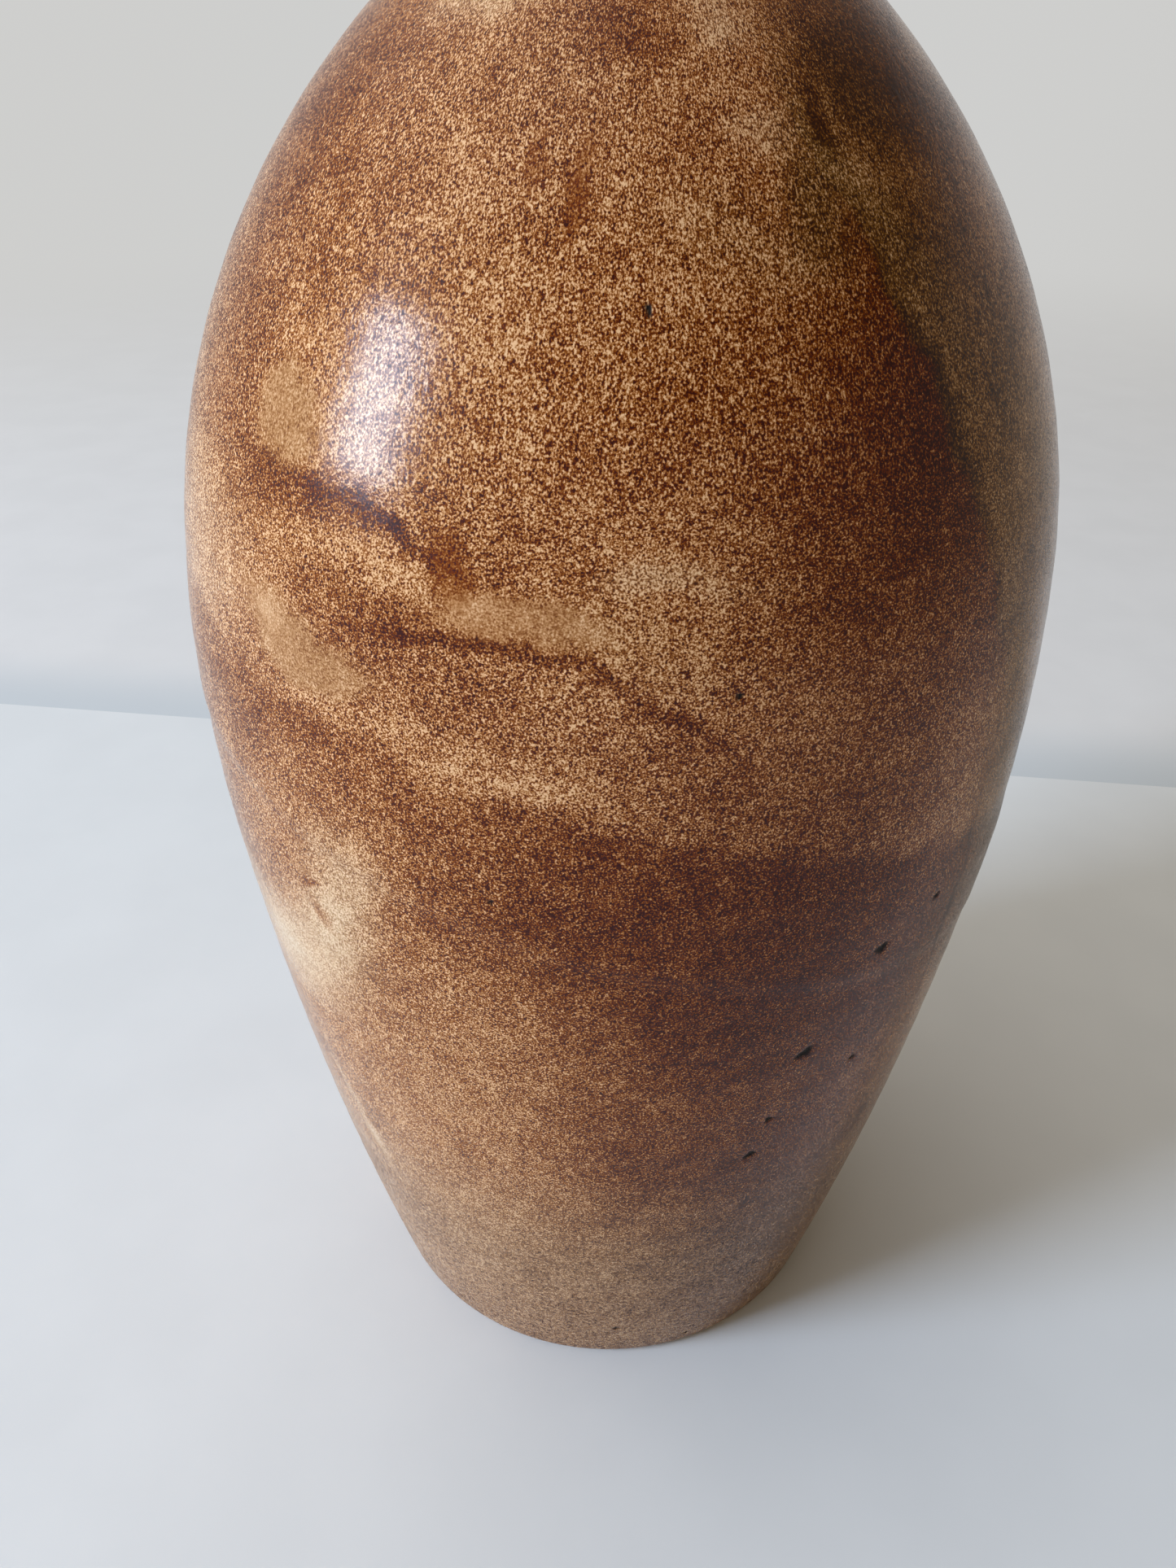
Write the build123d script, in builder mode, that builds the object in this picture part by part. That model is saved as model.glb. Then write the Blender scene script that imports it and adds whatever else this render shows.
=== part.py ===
# Wheel-thrown stoneware bottle vase: a swelling body on a turned foot ring, round shoulders, a
# short neck with a flared lip, a glaze-lined inside, and two dipped glaze coats outside.
# Millimetres, +Z up. The origin is the centre of the foot ring, on the surface it stands on.

import os
from math import asin, atan2, cos, degrees, radians, sin

from build123d import *

# Clay body
total_height = 300.0             # bearing face of the foot to the top of the clay lip
foot_radius = 51.6               # where the flank meets the bearing plane
belly_radius = 74.6              # widest point of the clay
belly_height = 151.0             # height of the widest point
belly_arc_radius = 264.0         # curvature of the belly, seen from the side
belly_arc_below = 5.8            # degrees of the belly arc below the widest point
belly_arc_above = 4.9            # degrees of the belly arc above it
wall_thickness = 5.0

# Neck and lip
neck_radius = 19.6               # narrowest point, outside
neck_length = 8.5                # upright stretch between its two hollow curves
neck_root_radius = 14.0          # hollow curve where the shoulder turns up into the neck
lip_flare_radius = 30.0          # hollow curve that carries the lip outwards
lip_flare_angle = 35.0           # degrees that the lip leans out from upright

# Foot and floor
foot_ring_width = 8.0
foot_recess_depth = 3.0
foot_bevel = 1.2                 # turned on both edges of the ring
foot_recess_rounding = 2.0
floor_thickness = 8.0
floor_corner_radius = 18.0       # inside, where the floor turns up into the wall

# Glaze
liner_thickness = 0.4
upper_coat_thickness = 0.35      # first dip, mouth down
lower_coat_thickness = 0.35      # second dip, foot down, over the edge of the first
bare_foot_height = 1.6           # clay wiped clean above the bearing face
dip_tilt = 15.5                  # degrees that the pot leaned in both dips
upper_coat_edge_height = 134.0   # where the first coat's edge plane crosses the axis
coat_overlap = 23.5              # how far the second coat climbs past that edge
coat_fill_width = 4.0            # band of the second coat that fills in against the first


# The outline is a chain of arcs, each tangent to the next. The same chain drawn with longer or
# shorter radii gives every surface that follows the wall.


def polar(centre, radius, angle):
    reach_x = radius * cos(radians(angle))
    reach_z = radius * sin(radians(angle))
    return (centre[0] + reach_x, centre[1] + reach_z)


belly_centre = (belly_radius - belly_arc_radius, belly_height)

# The flank leaves the belly arc and comes down to the edge of the foot.
flank_top = polar(belly_centre, belly_arc_radius, -belly_arc_below)
flank_x = foot_radius - flank_top[0]
flank_z = -flank_top[1]
flank_inward = flank_x * cos(radians(belly_arc_below)) - flank_z * sin(radians(belly_arc_below))
flank_arc_radius = -(flank_x**2 + flank_z**2) / (2 * flank_inward)
flank_centre = polar(flank_top, flank_arc_radius, 180 - belly_arc_below)

# The lip leans out from the neck and ends in a half round as thick as the wall.
lip_end = 180 - lip_flare_angle
lip_round_radius = wall_thickness / 2
lip_rise = (lip_flare_radius + lip_round_radius) * sin(radians(lip_flare_angle))
lip_centre = (neck_radius + lip_flare_radius, total_height - lip_round_radius - lip_rise)
lip_round_centre = polar(lip_centre, lip_flare_radius + lip_round_radius, lip_end)

# The shoulder leaves the belly arc, curved just enough to run smoothly into the neck's root.
root_centre = (neck_radius + neck_root_radius, lip_centre[1] - neck_length)
root_x = root_centre[0] - belly_centre[0]
root_z = root_centre[1] - belly_centre[1]
root_along = root_x * cos(radians(belly_arc_above)) + root_z * sin(radians(belly_arc_above))
root_across = root_z * cos(radians(belly_arc_above)) - root_x * sin(radians(belly_arc_above))
belly_to_root = belly_arc_radius + neck_root_radius - root_along
shoulder_arc_radius = (
    (belly_arc_radius - root_along) ** 2 + root_across**2 - neck_root_radius**2
) / (2 * belly_to_root)
shoulder_centre = polar(belly_centre, belly_arc_radius - shoulder_arc_radius, belly_arc_above)
shoulder_end = degrees(
    atan2(root_centre[1] - shoulder_centre[1], root_centre[0] - shoulder_centre[0])
)


# Each offset below is a distance outwards from the clay's outer face.


def flank_angle(offset, height):
    return degrees(asin((height - flank_centre[1]) / (flank_arc_radius + offset)))


def flank_point(offset, height):
    return polar(flank_centre, flank_arc_radius + offset, flank_angle(offset, height))


def wall_curve(offset, low_end):
    # One face of the wall, from a height on the flank up to the lip.
    start = flank_angle(offset, low_end)
    belly_span = belly_arc_below + belly_arc_above
    shoulder_span = shoulder_end - belly_arc_above
    neck_x = neck_radius + offset
    CenterArc(flank_centre, flank_arc_radius + offset, start, -belly_arc_below - start)
    CenterArc(belly_centre, belly_arc_radius + offset, -belly_arc_below, belly_span)
    CenterArc(shoulder_centre, shoulder_arc_radius + offset, belly_arc_above, shoulder_span)
    CenterArc(root_centre, neck_root_radius - offset, 180 + shoulder_end, -shoulder_end)
    Line((neck_x, root_centre[1]), (neck_x, lip_centre[1]))
    CenterArc(lip_centre, lip_flare_radius - offset, 180, -lip_flare_angle)


def lip_curve(offset):
    # Over the lip, from the outer face to the throat.
    CenterArc(lip_round_centre, lip_round_radius + offset, lip_end - 180, 180)


def across_lip(near, far):
    # Square through the skin at the lip's end, from one offset to another.
    near_point = polar(lip_centre, lip_flare_radius - near, lip_end)
    far_point = polar(lip_centre, lip_flare_radius - far, lip_end)
    Line(near_point, far_point)


# Clay body: floor, wall, neck and lip thrown in one piece, with the foot ring turned from it
floor_height = foot_recess_depth + floor_thickness
foot_ring_inner = foot_radius - foot_ring_width

with BuildPart() as clay_body:
    with BuildSketch(Plane.XZ) as clay_profile:
        with BuildLine():
            wall_curve(0, 0)
            lip_curve(0)
            wall_curve(-wall_thickness, floor_height)
            Polyline(
                flank_point(-wall_thickness, floor_height),
                (0, floor_height),
                (0, foot_recess_depth),
                (foot_ring_inner, foot_recess_depth),
                (foot_ring_inner, 0),
                (foot_radius, 0),
            )
        make_face()
        foot_level, recess_level, floor_level = clay_profile.vertices().group_by(Axis.Y)[:3]
        recess_corner = recess_level.sort_by(Axis.X)[-1]
        floor_corner = floor_level.sort_by(Axis.X)[-1]
        fillet(recess_corner, radius=foot_recess_rounding)
        fillet(floor_corner, radius=floor_corner_radius)
        chamfer(foot_level, length=foot_bevel)
    revolve(axis=Axis.Z)

clay_body.part.label = "clay_body"

# Liner glaze: poured in and out again, so it coats the floor, the wall and the throat
clay_inside = -wall_thickness
liner_face = clay_inside - liner_thickness
liner_level = floor_height + liner_thickness

with BuildPart() as liner_glaze:
    with BuildSketch(Plane.XZ) as liner_profile:
        with BuildLine():
            wall_curve(clay_inside, floor_height)
            wall_curve(liner_face, liner_level)
            across_lip(clay_inside, liner_face)
            Polyline(
                flank_point(clay_inside, floor_height),
                (0, floor_height),
                (0, liner_level),
                flank_point(liner_face, liner_level),
            )
        make_face()
        clay_side, inner_side = liner_profile.vertices().group_by(Axis.Y)[:2]
        clay_corner = clay_side.sort_by(Axis.X)[-1]
        inner_corner = inner_side.sort_by(Axis.X)[-1]
        fillet(clay_corner, radius=floor_corner_radius)
        fillet(inner_corner, radius=floor_corner_radius - liner_thickness)
    revolve(axis=Axis.Z)

liner_glaze.part.label = "liner_glaze"


# Outer coats: the pot leaned in both dips, so their edges lie on leaning planes


def dip_plane(height):
    lean = radians(dip_tilt)
    return Plane(origin=(0, 0, height), z_dir=(sin(lean), 0, cos(lean)))


def coat_curve(thickness):
    # A coat on the clay's outer face, from the wiped foot to where the lip rounds over.
    wall_curve(0, bare_foot_height)
    wall_curve(thickness, bare_foot_height)
    Line(flank_point(0, bare_foot_height), flank_point(thickness, bare_foot_height))


# First coat: over the lip and down to its leaning edge
with BuildPart() as upper_glaze_coat:
    with BuildSketch(Plane.XZ):
        with BuildLine():
            coat_curve(upper_coat_thickness)
            lip_curve(0)
            lip_curve(upper_coat_thickness)
            across_lip(clay_inside, clay_inside - upper_coat_thickness)
        make_face()
    revolve(axis=Axis.Z)
    split(bisect_by=dip_plane(upper_coat_edge_height), keep=Keep.TOP)

upper_glaze_coat.part.label = "upper_glaze_coat"

# Second coat: on the clay up to the first coat's edge, where it fills in and climbs over it
with BuildPart() as coat_on_clay:
    with BuildSketch(Plane.XZ):
        with BuildLine():
            coat_curve(lower_coat_thickness)
            across_lip(0, lower_coat_thickness)
        make_face()
    revolve(axis=Axis.Z)
    split(bisect_by=dip_plane(upper_coat_edge_height), keep=Keep.BOTTOM)

double_thickness = upper_coat_thickness + lower_coat_thickness

with BuildPart() as coat_over_coat:
    with BuildSketch(Plane.XZ):
        with BuildLine():
            coat_curve(double_thickness)
            across_lip(0, double_thickness)
        make_face()
    revolve(axis=Axis.Z)
    split(bisect_by=dip_plane(upper_coat_edge_height - coat_fill_width), keep=Keep.TOP)
    split(bisect_by=dip_plane(upper_coat_edge_height + coat_overlap), keep=Keep.BOTTOM)
    add(upper_glaze_coat.part, mode=Mode.SUBTRACT)

with BuildPart() as lower_glaze_coat:
    add(coat_on_clay.part)
    add(coat_over_coat.part)

lower_glaze_coat.part.label = "lower_glaze_coat"

os.makedirs("parts", exist_ok=True)
for piece in (clay_body, liner_glaze, upper_glaze_coat, lower_glaze_coat):
    export_step(piece.part, f"parts/{piece.part.label}.step")
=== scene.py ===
# Speckled stoneware bottle vase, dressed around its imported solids.
# Shapes are drawn in millimetres and brought to metres when each mesh is made.

from math import asin, atan2, cos, exp, hypot, pi, radians, sin, sqrt, tan

import bmesh
import bpy
import numpy
from mathutils import Matrix, Vector


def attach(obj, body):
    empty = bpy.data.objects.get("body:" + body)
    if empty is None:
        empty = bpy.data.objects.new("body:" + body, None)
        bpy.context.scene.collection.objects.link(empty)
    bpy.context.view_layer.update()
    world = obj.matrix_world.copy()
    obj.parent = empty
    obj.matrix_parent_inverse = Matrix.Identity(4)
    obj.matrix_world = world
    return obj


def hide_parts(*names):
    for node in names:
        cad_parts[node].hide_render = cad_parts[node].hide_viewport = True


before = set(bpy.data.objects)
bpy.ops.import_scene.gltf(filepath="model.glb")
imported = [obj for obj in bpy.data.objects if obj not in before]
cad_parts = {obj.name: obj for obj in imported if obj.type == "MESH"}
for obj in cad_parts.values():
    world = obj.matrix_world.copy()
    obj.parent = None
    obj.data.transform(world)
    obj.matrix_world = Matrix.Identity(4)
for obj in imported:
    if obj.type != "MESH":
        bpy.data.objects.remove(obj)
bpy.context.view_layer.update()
millimetre = 0.001
print("frame loaded:", ", ".join(sorted(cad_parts)))


outline = {
    "height": 299.99,
    "footRadius": 51.6,
    "bellyRadius": 74.6,
    "bellyHeight": 151.0,
    "bellyArc": 264.0,
    "bellyBelow": radians(5.8),
    "bellyAbove": radians(4.9),
    "wall": 5.0,
    "neckRadius": 19.6,
    "neckLength": 8.5,
    "neckRoot": 14.0,
    "flareArc": 30.0,
    "flareAngle": radians(35),
    "fineStep": 1.25,   # along the wall, where the surface is seen
    "coarseStep": 5.0,  # along faces that lie against another piece
    "turns": 400,       # steps round the pot, where the surface is seen
    "coarseTurns": 256,
    "beyond": 80.0,     # a radius past the widest point
}


def polar(centre, radius, angle):
    return centre[0] + radius * cos(angle), centre[1] + radius * sin(angle)


def solveOutline(o):
    # The wall is a chain of arcs, each tangent to the next.
    belly = (o["bellyRadius"] - o["bellyArc"], o["bellyHeight"])
    flankTop = polar(belly, o["bellyArc"], -o["bellyBelow"])
    across, down = o["footRadius"] - flankTop[0], -flankTop[1]
    inward = across * cos(o["bellyBelow"]) - down * sin(o["bellyBelow"])
    flankArc = -(across**2 + down**2) / (2 * inward)
    flank = polar(flankTop, flankArc, pi - o["bellyBelow"])
    lipHalf = o["wall"] / 2
    lipRise = (o["flareArc"] + lipHalf) * sin(o["flareAngle"])
    flare = (o["neckRadius"] + o["flareArc"], o["height"] - lipHalf - lipRise)
    root = (o["neckRadius"] + o["neckRoot"], flare[1] - o["neckLength"])
    toRoot = Vector((root[0] - belly[0], root[1] - belly[1]))
    ahead = Vector((cos(o["bellyAbove"]), sin(o["bellyAbove"])))
    along = toRoot.dot(ahead)
    sideways = toRoot.y * ahead.x - toRoot.x * ahead.y
    gap = o["bellyArc"] + o["neckRoot"] - along
    shoulderArc = ((o["bellyArc"] - along) ** 2 + sideways**2 - o["neckRoot"] ** 2) / (2 * gap)
    shoulder = polar(belly, o["bellyArc"] - shoulderArc, o["bellyAbove"])
    shoulderEnd = atan2(root[1] - shoulder[1], root[0] - shoulder[0])
    lip = polar(flare, o["flareArc"] + lipHalf, pi - o["flareAngle"])
    return {
        "belly": belly, "flank": flank, "flankArc": flankArc, "flare": flare, "root": root,
        "shoulder": shoulder, "shoulderArc": shoulderArc, "shoulderEnd": shoulderEnd, "lip": lip,
    }


centres = solveOutline(outline)


def flankAngle(offset, height):
    return asin((height - centres["flank"][1]) / (centres["flankArc"] + offset))


def flankPoint(offset, height):
    return polar(centres["flank"], centres["flankArc"] + offset, flankAngle(offset, height))


def wallPath(offset, lowEnd):
    # Arcs as (centre, sweep), or a straight rise, from a height on the flank up to the lip.
    start = flankAngle(offset, lowEnd)
    o, c = outline, centres
    return [
        (c["flank"], -o["bellyBelow"] - start),
        (c["belly"], o["bellyBelow"] + o["bellyAbove"]),
        (c["shoulder"], c["shoulderEnd"] - o["bellyAbove"]),
        (c["root"], -c["shoulderEnd"]),
        (None, o["neckLength"]),
        (c["flare"], -o["flareAngle"]),
    ]


def backwards(path):
    return [(centre, -sweep) for centre, sweep in reversed(path)]


def vertsIn(geometry):
    return [g for g in geometry if isinstance(g, bmesh.types.BMVert)]


def trace(mesh, tip, path, step):
    # Draws on from the tip: each arc is the tip spun about the arc's centre.
    for centre, sweep in path:
        if centre is None:
            count = max(1, round(abs(sweep) / step))
            for _ in range(count):
                tip = bmesh.ops.extrude_vert_indiv(mesh, verts=[tip])["verts"][0]
                tip.co.z += sweep / count
        else:
            pivot = Vector((centre[0], 0, centre[1]))
            reach = (tip.co - pivot).length
            count = max(2, round(reach * abs(sweep) / step))
            spun = bmesh.ops.spin(
                mesh, geom=[tip], cent=pivot, axis=(0, -1, 0), angle=sweep, steps=count,
                use_duplicate=False,
            )
            tip = vertsIn(spun["geom_last"])[0]
    return tip


def lineTo(mesh, tip, point, step=None):
    target = Vector((point[0], 0, point[1]))
    start = tip.co.copy()
    count = 1 if step is None else max(1, round((target - start).length / step))
    for i in range(count):
        tip = bmesh.ops.extrude_vert_indiv(mesh, verts=[tip])["verts"][0]
        tip.co = start.lerp(target, (i + 1) / count)
    return tip


def everything(mesh):
    return list(mesh.verts) + list(mesh.edges) + list(mesh.faces)


def throwPot(mesh, turns):
    # The profile is spun through a quarter turn, which is then doubled twice to go all round.
    bmesh.ops.spin(
        mesh, geom=everything(mesh), cent=(0, 0, 0), axis=(0, 0, 1), angle=pi / 2,
        steps=turns // 4, use_duplicate=False,
    )
    for angle in (pi / 2, pi):
        copied = vertsIn(bmesh.ops.duplicate(mesh, geom=everything(mesh))["geom"])
        bmesh.ops.rotate(mesh, cent=(0, 0, 0), matrix=Matrix.Rotation(angle, 3, "Z"), verts=copied)
    bmesh.ops.remove_doubles(mesh, verts=mesh.verts, dist=0.002)
    bmesh.ops.recalc_face_normals(mesh, faces=mesh.faces)


def radiusAt(height, offset=0.0):
    # Radius of the wall's outer face on the flank, belly or shoulder.
    o, c = outline, centres
    if height < o["bellyHeight"] - o["bellyArc"] * sin(o["bellyBelow"]):
        centre, arc = c["flank"], c["flankArc"]
    elif height < o["bellyHeight"] + o["bellyArc"] * sin(o["bellyAbove"]):
        centre, arc = c["belly"], o["bellyArc"]
    else:
        centre, arc = c["shoulder"], c["shoulderArc"]
    return centre[0] + sqrt((arc + offset) ** 2 - (height - centre[1]) ** 2)


def smoothStep(low, high, value):
    t = min(1.0, max(0.0, (value - low) / (high - low)))
    return t * t * (3 - 2 * t)


# Slight unevenness that the hands leave, the same through every layer of the wall
handMade = {
    "oval": 0.0016,
    "rings": 0.05,
    "ringPitch": 9.5,
    "grows": (8, 40),     # heights over which it grows from nothing
    "dies": (250, 285),   # and dies away again
}


def soften(mesh):
    for v in mesh.verts:
        reach = hypot(v.co.x, v.co.y)
        if reach < 1.0:
            continue
        turn = atan2(v.co.y, v.co.x)
        z = v.co.z
        share = smoothStep(*handMade["grows"], z) * (1 - smoothStep(*handMade["dies"], z))
        oval = handMade["oval"] * (1 + cos(2 * turn + 0.7 + z * 0.006)) / 2
        ring = handMade["rings"] * (1 + sin(2 * pi * z / handMade["ringPitch"] + turn)) / 2
        pull = 1 - share * (oval + ring / reach)
        v.co.x *= pull
        v.co.y *= pull


def putIn(name, data):
    holder = bpy.data.objects.new(name, data)
    bpy.context.scene.collection.objects.link(holder)
    return holder


def toObject(mesh, name, material):
    data = bpy.data.meshes.new(name)
    mesh.to_mesh(data)
    mesh.free()
    data.materials.append(material)
    return putIn(name, data)


def finishPiece(mesh, name, material, sharp=50):
    soften(mesh)
    bmesh.ops.scale(mesh, vec=(millimetre,) * 3, verts=mesh.verts)
    piece = toObject(mesh, name, material)
    piece.data.shade_smooth()
    piece.data.set_sharp_from_angle(angle=radians(sharp))
    print(name, "made:", len(piece.data.polygons), "faces")
    return piece


def addNode(tree, kind, inputs, **settings):
    node = tree.nodes.new("ShaderNode" + kind)
    for name, value in settings.items():
        setattr(node, name, value)
    for key, value in inputs.items():
        if isinstance(value, bpy.types.NodeSocket):
            tree.links.new(value, node.inputs[key])
        else:
            node.inputs[key].default_value = value
    return node


def calc(tree, operation, a, b=0.0, c=0.0, clamp=False):
    node = addNode(tree, "Math", {0: a, 1: b, 2: c}, operation=operation, use_clamp=clamp)
    return node.outputs[0]


def times(tree, a, b):
    return calc(tree, "MULTIPLY", a, b)


def vectorCalc(tree, operation, a, b=(0, 0, 0)):
    return addNode(tree, "VectorMath", {0: a, 1: b}, operation=operation).outputs[0]


def project(tree, a, b):
    # How far one vector reaches along the other, as a single number.
    return addNode(tree, "VectorMath", {0: a, 1: b}, operation="DOT_PRODUCT").outputs["Value"]


def vectorLength(tree, a):
    return addNode(tree, "VectorMath", {0: a}, operation="LENGTH").outputs["Value"]


def scaled(tree, a, amount):
    return addNode(tree, "VectorMath", {0: a, "Scale": amount}, operation="SCALE").outputs[0]


def axesOf(tree, a):
    return addNode(tree, "SeparateXYZ", {0: a}).outputs


def joined(tree, x, y, z=0.0):
    return addNode(tree, "CombineXYZ", {0: x, 1: y, 2: z}).outputs[0]


def ease(tree, value, low, high, toLow=0.0, toHigh=1.0):
    # A smooth step from toLow to toHigh as the value goes from low to high.
    node = addNode(
        tree, "MapRange",
        {"Value": value, "From Min": low, "From Max": high, "To Min": toLow, "To Max": toHigh},
        interpolation_type="SMOOTHSTEP",
    )
    return node.outputs[0]


def grain(tree, place, size, detail=2.0, roughness=0.5, channel="Fac"):
    # Noise whose lumps are about as wide as size, in the units of place.
    node = addNode(
        tree, "TexNoise",
        {"Vector": place, "Scale": 1 / size, "Detail": detail, "Roughness": roughness},
    )
    return node.outputs[channel]


def vary(tree, onto, noise, amount):
    # Adds so much of a noise, which lies about one half, to a tone.
    return calc(tree, "MULTIPLY_ADD", calc(tree, "SUBTRACT", noise, 0.5), amount, onto)


def blendColour(tree, factor, a, b):
    return addNode(tree, "Mix", {0: factor, 6: a, 7: b}, data_type="RGBA").outputs[2]


def paint(code):
    # A colour written as six hex digits, in the linear numbers that the shaders use.
    parts = [int(code[i:i + 2], 16) / 255 for i in (0, 2, 4)]
    return tuple(p / 12.92 if p <= 0.04045 else ((p + 0.055) / 1.055) ** 2.4 for p in parts) + (1,)


def evenStops(colours):
    codes = colours.split()
    return [(i / (len(codes) - 1), code) for i, code in enumerate(codes)]


def toneRamp(tree, factor, stops):
    node = addNode(tree, "ValToRGB", {"Fac": factor})
    ramp = node.color_ramp
    while len(ramp.elements) < len(stops):
        ramp.elements.new(0.5)
    for element, (position, code) in zip(ramp.elements, stops):
        element.position = position
        element.color = paint(code)
    return node.outputs["Color"]


def inMillimetres(tree):
    return scaled(tree, addNode(tree, "TexCoord", {}).outputs["Object"], 1 / millimetre)


def addBump(tree, shader, height, depth, strength):
    bump = addNode(tree, "Bump", {"Height": height, "Distance": depth, "Strength": strength})
    tree.links.new(bump.outputs[0], shader.inputs["Normal"])


def newMaterial(name):
    material = bpy.data.materials.new(name)
    material.use_nodes = True
    tree = material.node_tree
    return material, tree, tree.nodes["Principled BSDF"]


glazeLook = {
    "dipTilt": 15.5,        # degrees that the edges of both dips lean
    "firstEdge": 134.0,     # where the first coat's edge crosses the axis
    "secondEdge": 157.5,
    "unroll": 75.0,         # radius at which strokes are measured round the pot
    # the strokes waver by the sum of these: millimetres, waves along x, y and z, and a start
    "waver": [
        (0.8, (0.061, -0.083, 0.097), 0.4),
        (0.6, (-0.14, 0.11, 0.21), 2.1),
        (0.5, (0.25, 0.29, -0.33), 4.0),
        (0.35, (-0.53, 0.48, 0.61), 1.0),
    ],
    "ragged": 2.8,          # and how ragged their edges are close up
    "raggedSize": 1.3,
    "fleck": 0.29,          # size of one fleck
    "clump": 0.8,           # size of a gathering of flecks
    "patch": 4.5,           # size of a thin or thick place
    "drift": 19.0,          # size of the broad clouds
    "fleckContrast": 3.3,
    "clumpContrast": 0.75,
    "patchContrast": 0.4,
    "driftContrast": 0.35,
    "settled": 0.505,       # the tone where nothing adds to it
    "overlap": (-48.0, 12.0),  # from left to right, where the overlap of the coats grows darker
    "overlapDark": 0.25,
    "drawnOut": (0.31, 0.9),  # sine of the shoulder's angle, over which flecks are drawn out
    "drawnShare": 0.8,
    "neck": (250.0, 262.0),  # heights over which they are plain again
    "foot": (84.0, 22.0),   # heights over which the glaze melts smooth
    "footDull": (88.0, 38.0),  # and turns taupe
    "footCalm": 0.24,
    "footBlotch": 0.7,
    "gloss": 0.145,         # roughness between the flecks
    "fleckRough": 0.16,     # and what is added on flecks, at the foot and in pinholes
    "footRough": 0.12,
    "pinholeRough": 0.4,
    "fleckRelief": 0.022,   # millimetres
    "stillRelief": 0.018,   # of which this goes where it melted smooth
    "peel": 1.5,            # size of the ripples in its surface
    "peelRelief": 0.04,
    "refraction": 1.31,
    "brown": evenStops("330500 6a2600 975a24 c48b58 e8bb8c"),
    "khaki": evenStops("2e0f00 5c3408 885c2a b08456 d2ab80"),
    "taupe": evenStops("3c1d06 6a401f 936840 b68b64 d4ad82"),
    "cream": evenStops("70481f 9c7249 c39f74 d8b993 e6cfae"),
}


def stroke(at, reach, turn, fade=0.9, **adds):
    # Lies at (millimetres round from the front, height) and reaches so far along and across. Turn
    # is in degrees, fade softens the rim, sag bends the ends down, and fold makes the upper side
    # that many times sharper than the lower. It adds to some of: dark (more flecks), khaki and
    # cream (the ground's colour), still (melted smooth) and relief (millimetres).
    return {"at": at, "reach": reach, "turn": turn, "fade": fade, **adds}


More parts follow.
